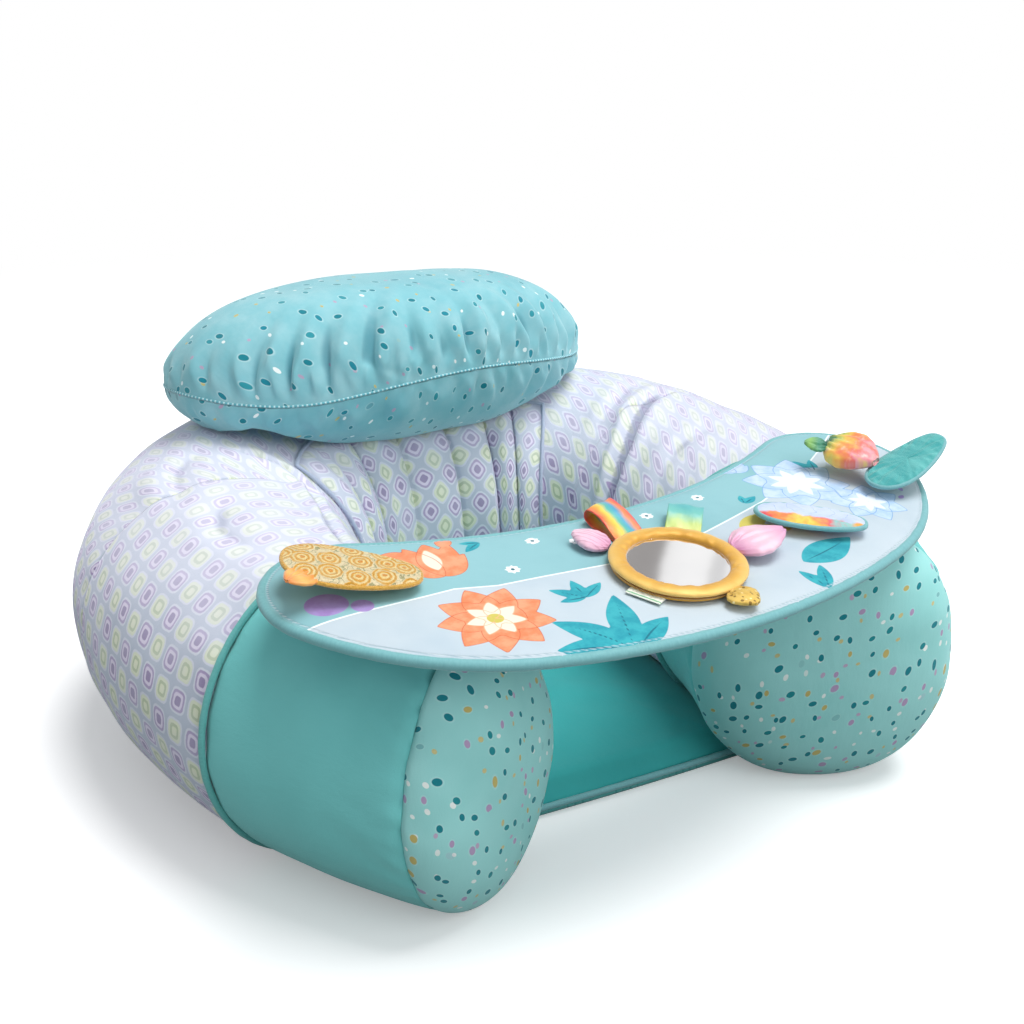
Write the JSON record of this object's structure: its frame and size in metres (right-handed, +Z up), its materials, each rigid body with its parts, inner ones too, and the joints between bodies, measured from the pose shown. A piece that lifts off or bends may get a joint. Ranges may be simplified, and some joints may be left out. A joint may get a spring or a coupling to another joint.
{
  "type": "baby floor seat",
  "caption": "C-shaped inflated floor seat in a fabric cover, with a channelled backrest, padded base, head pillow and a curved play tray with a mirror and cloth flaps.",
  "frame": {"origin": "on the floor under the middle of the seat's bounding box", "axes": "+Z up; +Y to the back, behind the pillow; +X to the seated child's left side, which is the viewer's right from the front"},
  "size_m": [0.6391, 0.6524, 0.3373],
  "materials": {
    "lilac_cloth": "brushed knit printed with a lattice of nested squares",
    "teal_cloth": "plain brushed knit",
    "speckled_cloth": "brushed knit printed with small oval specks",
    "pillow_cloth": "smooth knit printed with small specks",
    "tray_cloth": "printed velour over foam",
    "aqua_piping": "satin bound cord",
    "teal_piping": "knit bound cord",
    "chamber_film": "clear welded film",
    "valve_plastic": "moulded clear plastic",
    "gold_satin": "satin",
    "gold_plush": "plush printed with concentric circles",
    "mirror_film": "flexible mirror film",
    "rainbow_satin": "striped satin ribbon",
    "teal_satin": "satin",
    "pink_satin": "satin",
    "crinkle_cloth": "crinkle film between two cloths",
    "teal_velvet": "velvet with a pale back",
    "tie_dye_satin": "tie-dyed satin",
    "fibre_filling": "loose polyester fibre",
    "hook_and_loop": "hook-and-loop tape",
    "zip_cloth": "woven zip tape",
    "zip_coil": "moulded coil",
    "slider_metal": "plated die casting"
  },
  "bodies": {
    "seat": {"cover_back": "lilac_cloth", "cover_side_left": "lilac_cloth", "cover_side_right": "lilac_cloth", "cover_arm_left": "teal_cloth", "cover_arm_right": "teal_cloth", "arm_end_left": "speckled_cloth", "arm_end_right": "speckled_cloth", "seam_piping_left": "teal_piping", "seam_piping_right": "teal_piping", "backrest_panel": "lilac_cloth", "backrest_piping": "aqua_piping", "air_chamber": "chamber_film", "valve_body": "valve_plastic", "valve_cap": "valve_plastic", "base_cloth": "teal_cloth", "seat_pad": "teal_cloth", "base_piping": "aqua_piping", "zip_tape": "zip_cloth", "zip_coil": "zip_coil", "arm_loop_patch_left": "hook_and_loop", "arm_loop_patch_right": "hook_and_loop", "tray_strap_left": "teal_cloth", "tray_strap_right": "teal_cloth", "pillow_strap": "lilac_cloth"},
    "tray": {"tray_pad": "tray_cloth", "tray_piping": "aqua_piping", "tray_hook_patches": "hook_and_loop", "tray_tabs": "aqua_piping", "rainbow_ribbon": "rainbow_satin", "satin_loop": "teal_satin", "petal_left": "pink_satin"},
    "mirror": {"mirror_backing": "gold_satin", "mirror_rim": "gold_satin", "mirror_film": "mirror_film", "petal_right": "pink_satin", "mirror_gold_tab": "gold_satin", "mirror_crinkle_tab": "crinkle_cloth"},
    "leaf_flap": {"leaf_flap": "gold_plush"},
    "wing": {"wing_flap": "teal_velvet", "wing_ribbon_roll": "tie_dye_satin"},
    "petal_flap": {"petal_flap": "tray_cloth"},
    "pillow": {"pillow_top": "pillow_cloth", "pillow_bottom": "pillow_cloth", "pillow_piping": "aqua_piping", "pillow_filling": "fibre_filling"},
    "zip_slider": {"zip_slider": "slider_metal"}
  },
  "joints": [
    {"name": "tray_lift", "type": "hinge", "parent": "seat", "child": "tray", "pos_m": [-0.00313, -0.27715, 0.19654], "axis": [0.9993, 0.0364, 0.0044], "range_deg": [0, 80]},
    {"name": "mirror_lift", "type": "hinge", "parent": "tray", "child": "mirror", "pos_m": [-0.02256, -0.21491, 0.23268], "axis": [-0.9993, -0.0364, -0.0044], "range_deg": [0, 90]},
    {"name": "leaf_flap_lift", "type": "hinge", "parent": "tray", "child": "leaf_flap", "pos_m": [-0.17814, -0.20814, 0.22745], "axis": [0.4051, 0.9076, 0.1098], "range_deg": [-4, 110]},
    {"name": "wing_fold", "type": "hinge", "parent": "tray", "child": "wing", "pos_m": [0.17515, -0.21958, 0.2233], "axis": [0.1582, -0.9803, -0.1186], "range_deg": [-5, 75]},
    {"name": "petal_flap_lift", "type": "hinge", "parent": "tray", "child": "petal_flap", "pos_m": [0.11487, -0.23475, 0.22454], "axis": [-0.7443, 0.663, 0.0802], "range_deg": [-3, 110]},
    {"name": "pillow_tilt", "type": "hinge", "parent": "seat", "child": "pillow", "pos_m": [-0.009, 0.246, 0.25357], "axis": [-1, 0, 0], "range_deg": [0, 75]},
    {"name": "zip_slide", "type": "slide", "parent": "seat", "child": "zip_slider", "axis": [-1, 0, 0], "range_m": [0, 0.17]}
  ]
}
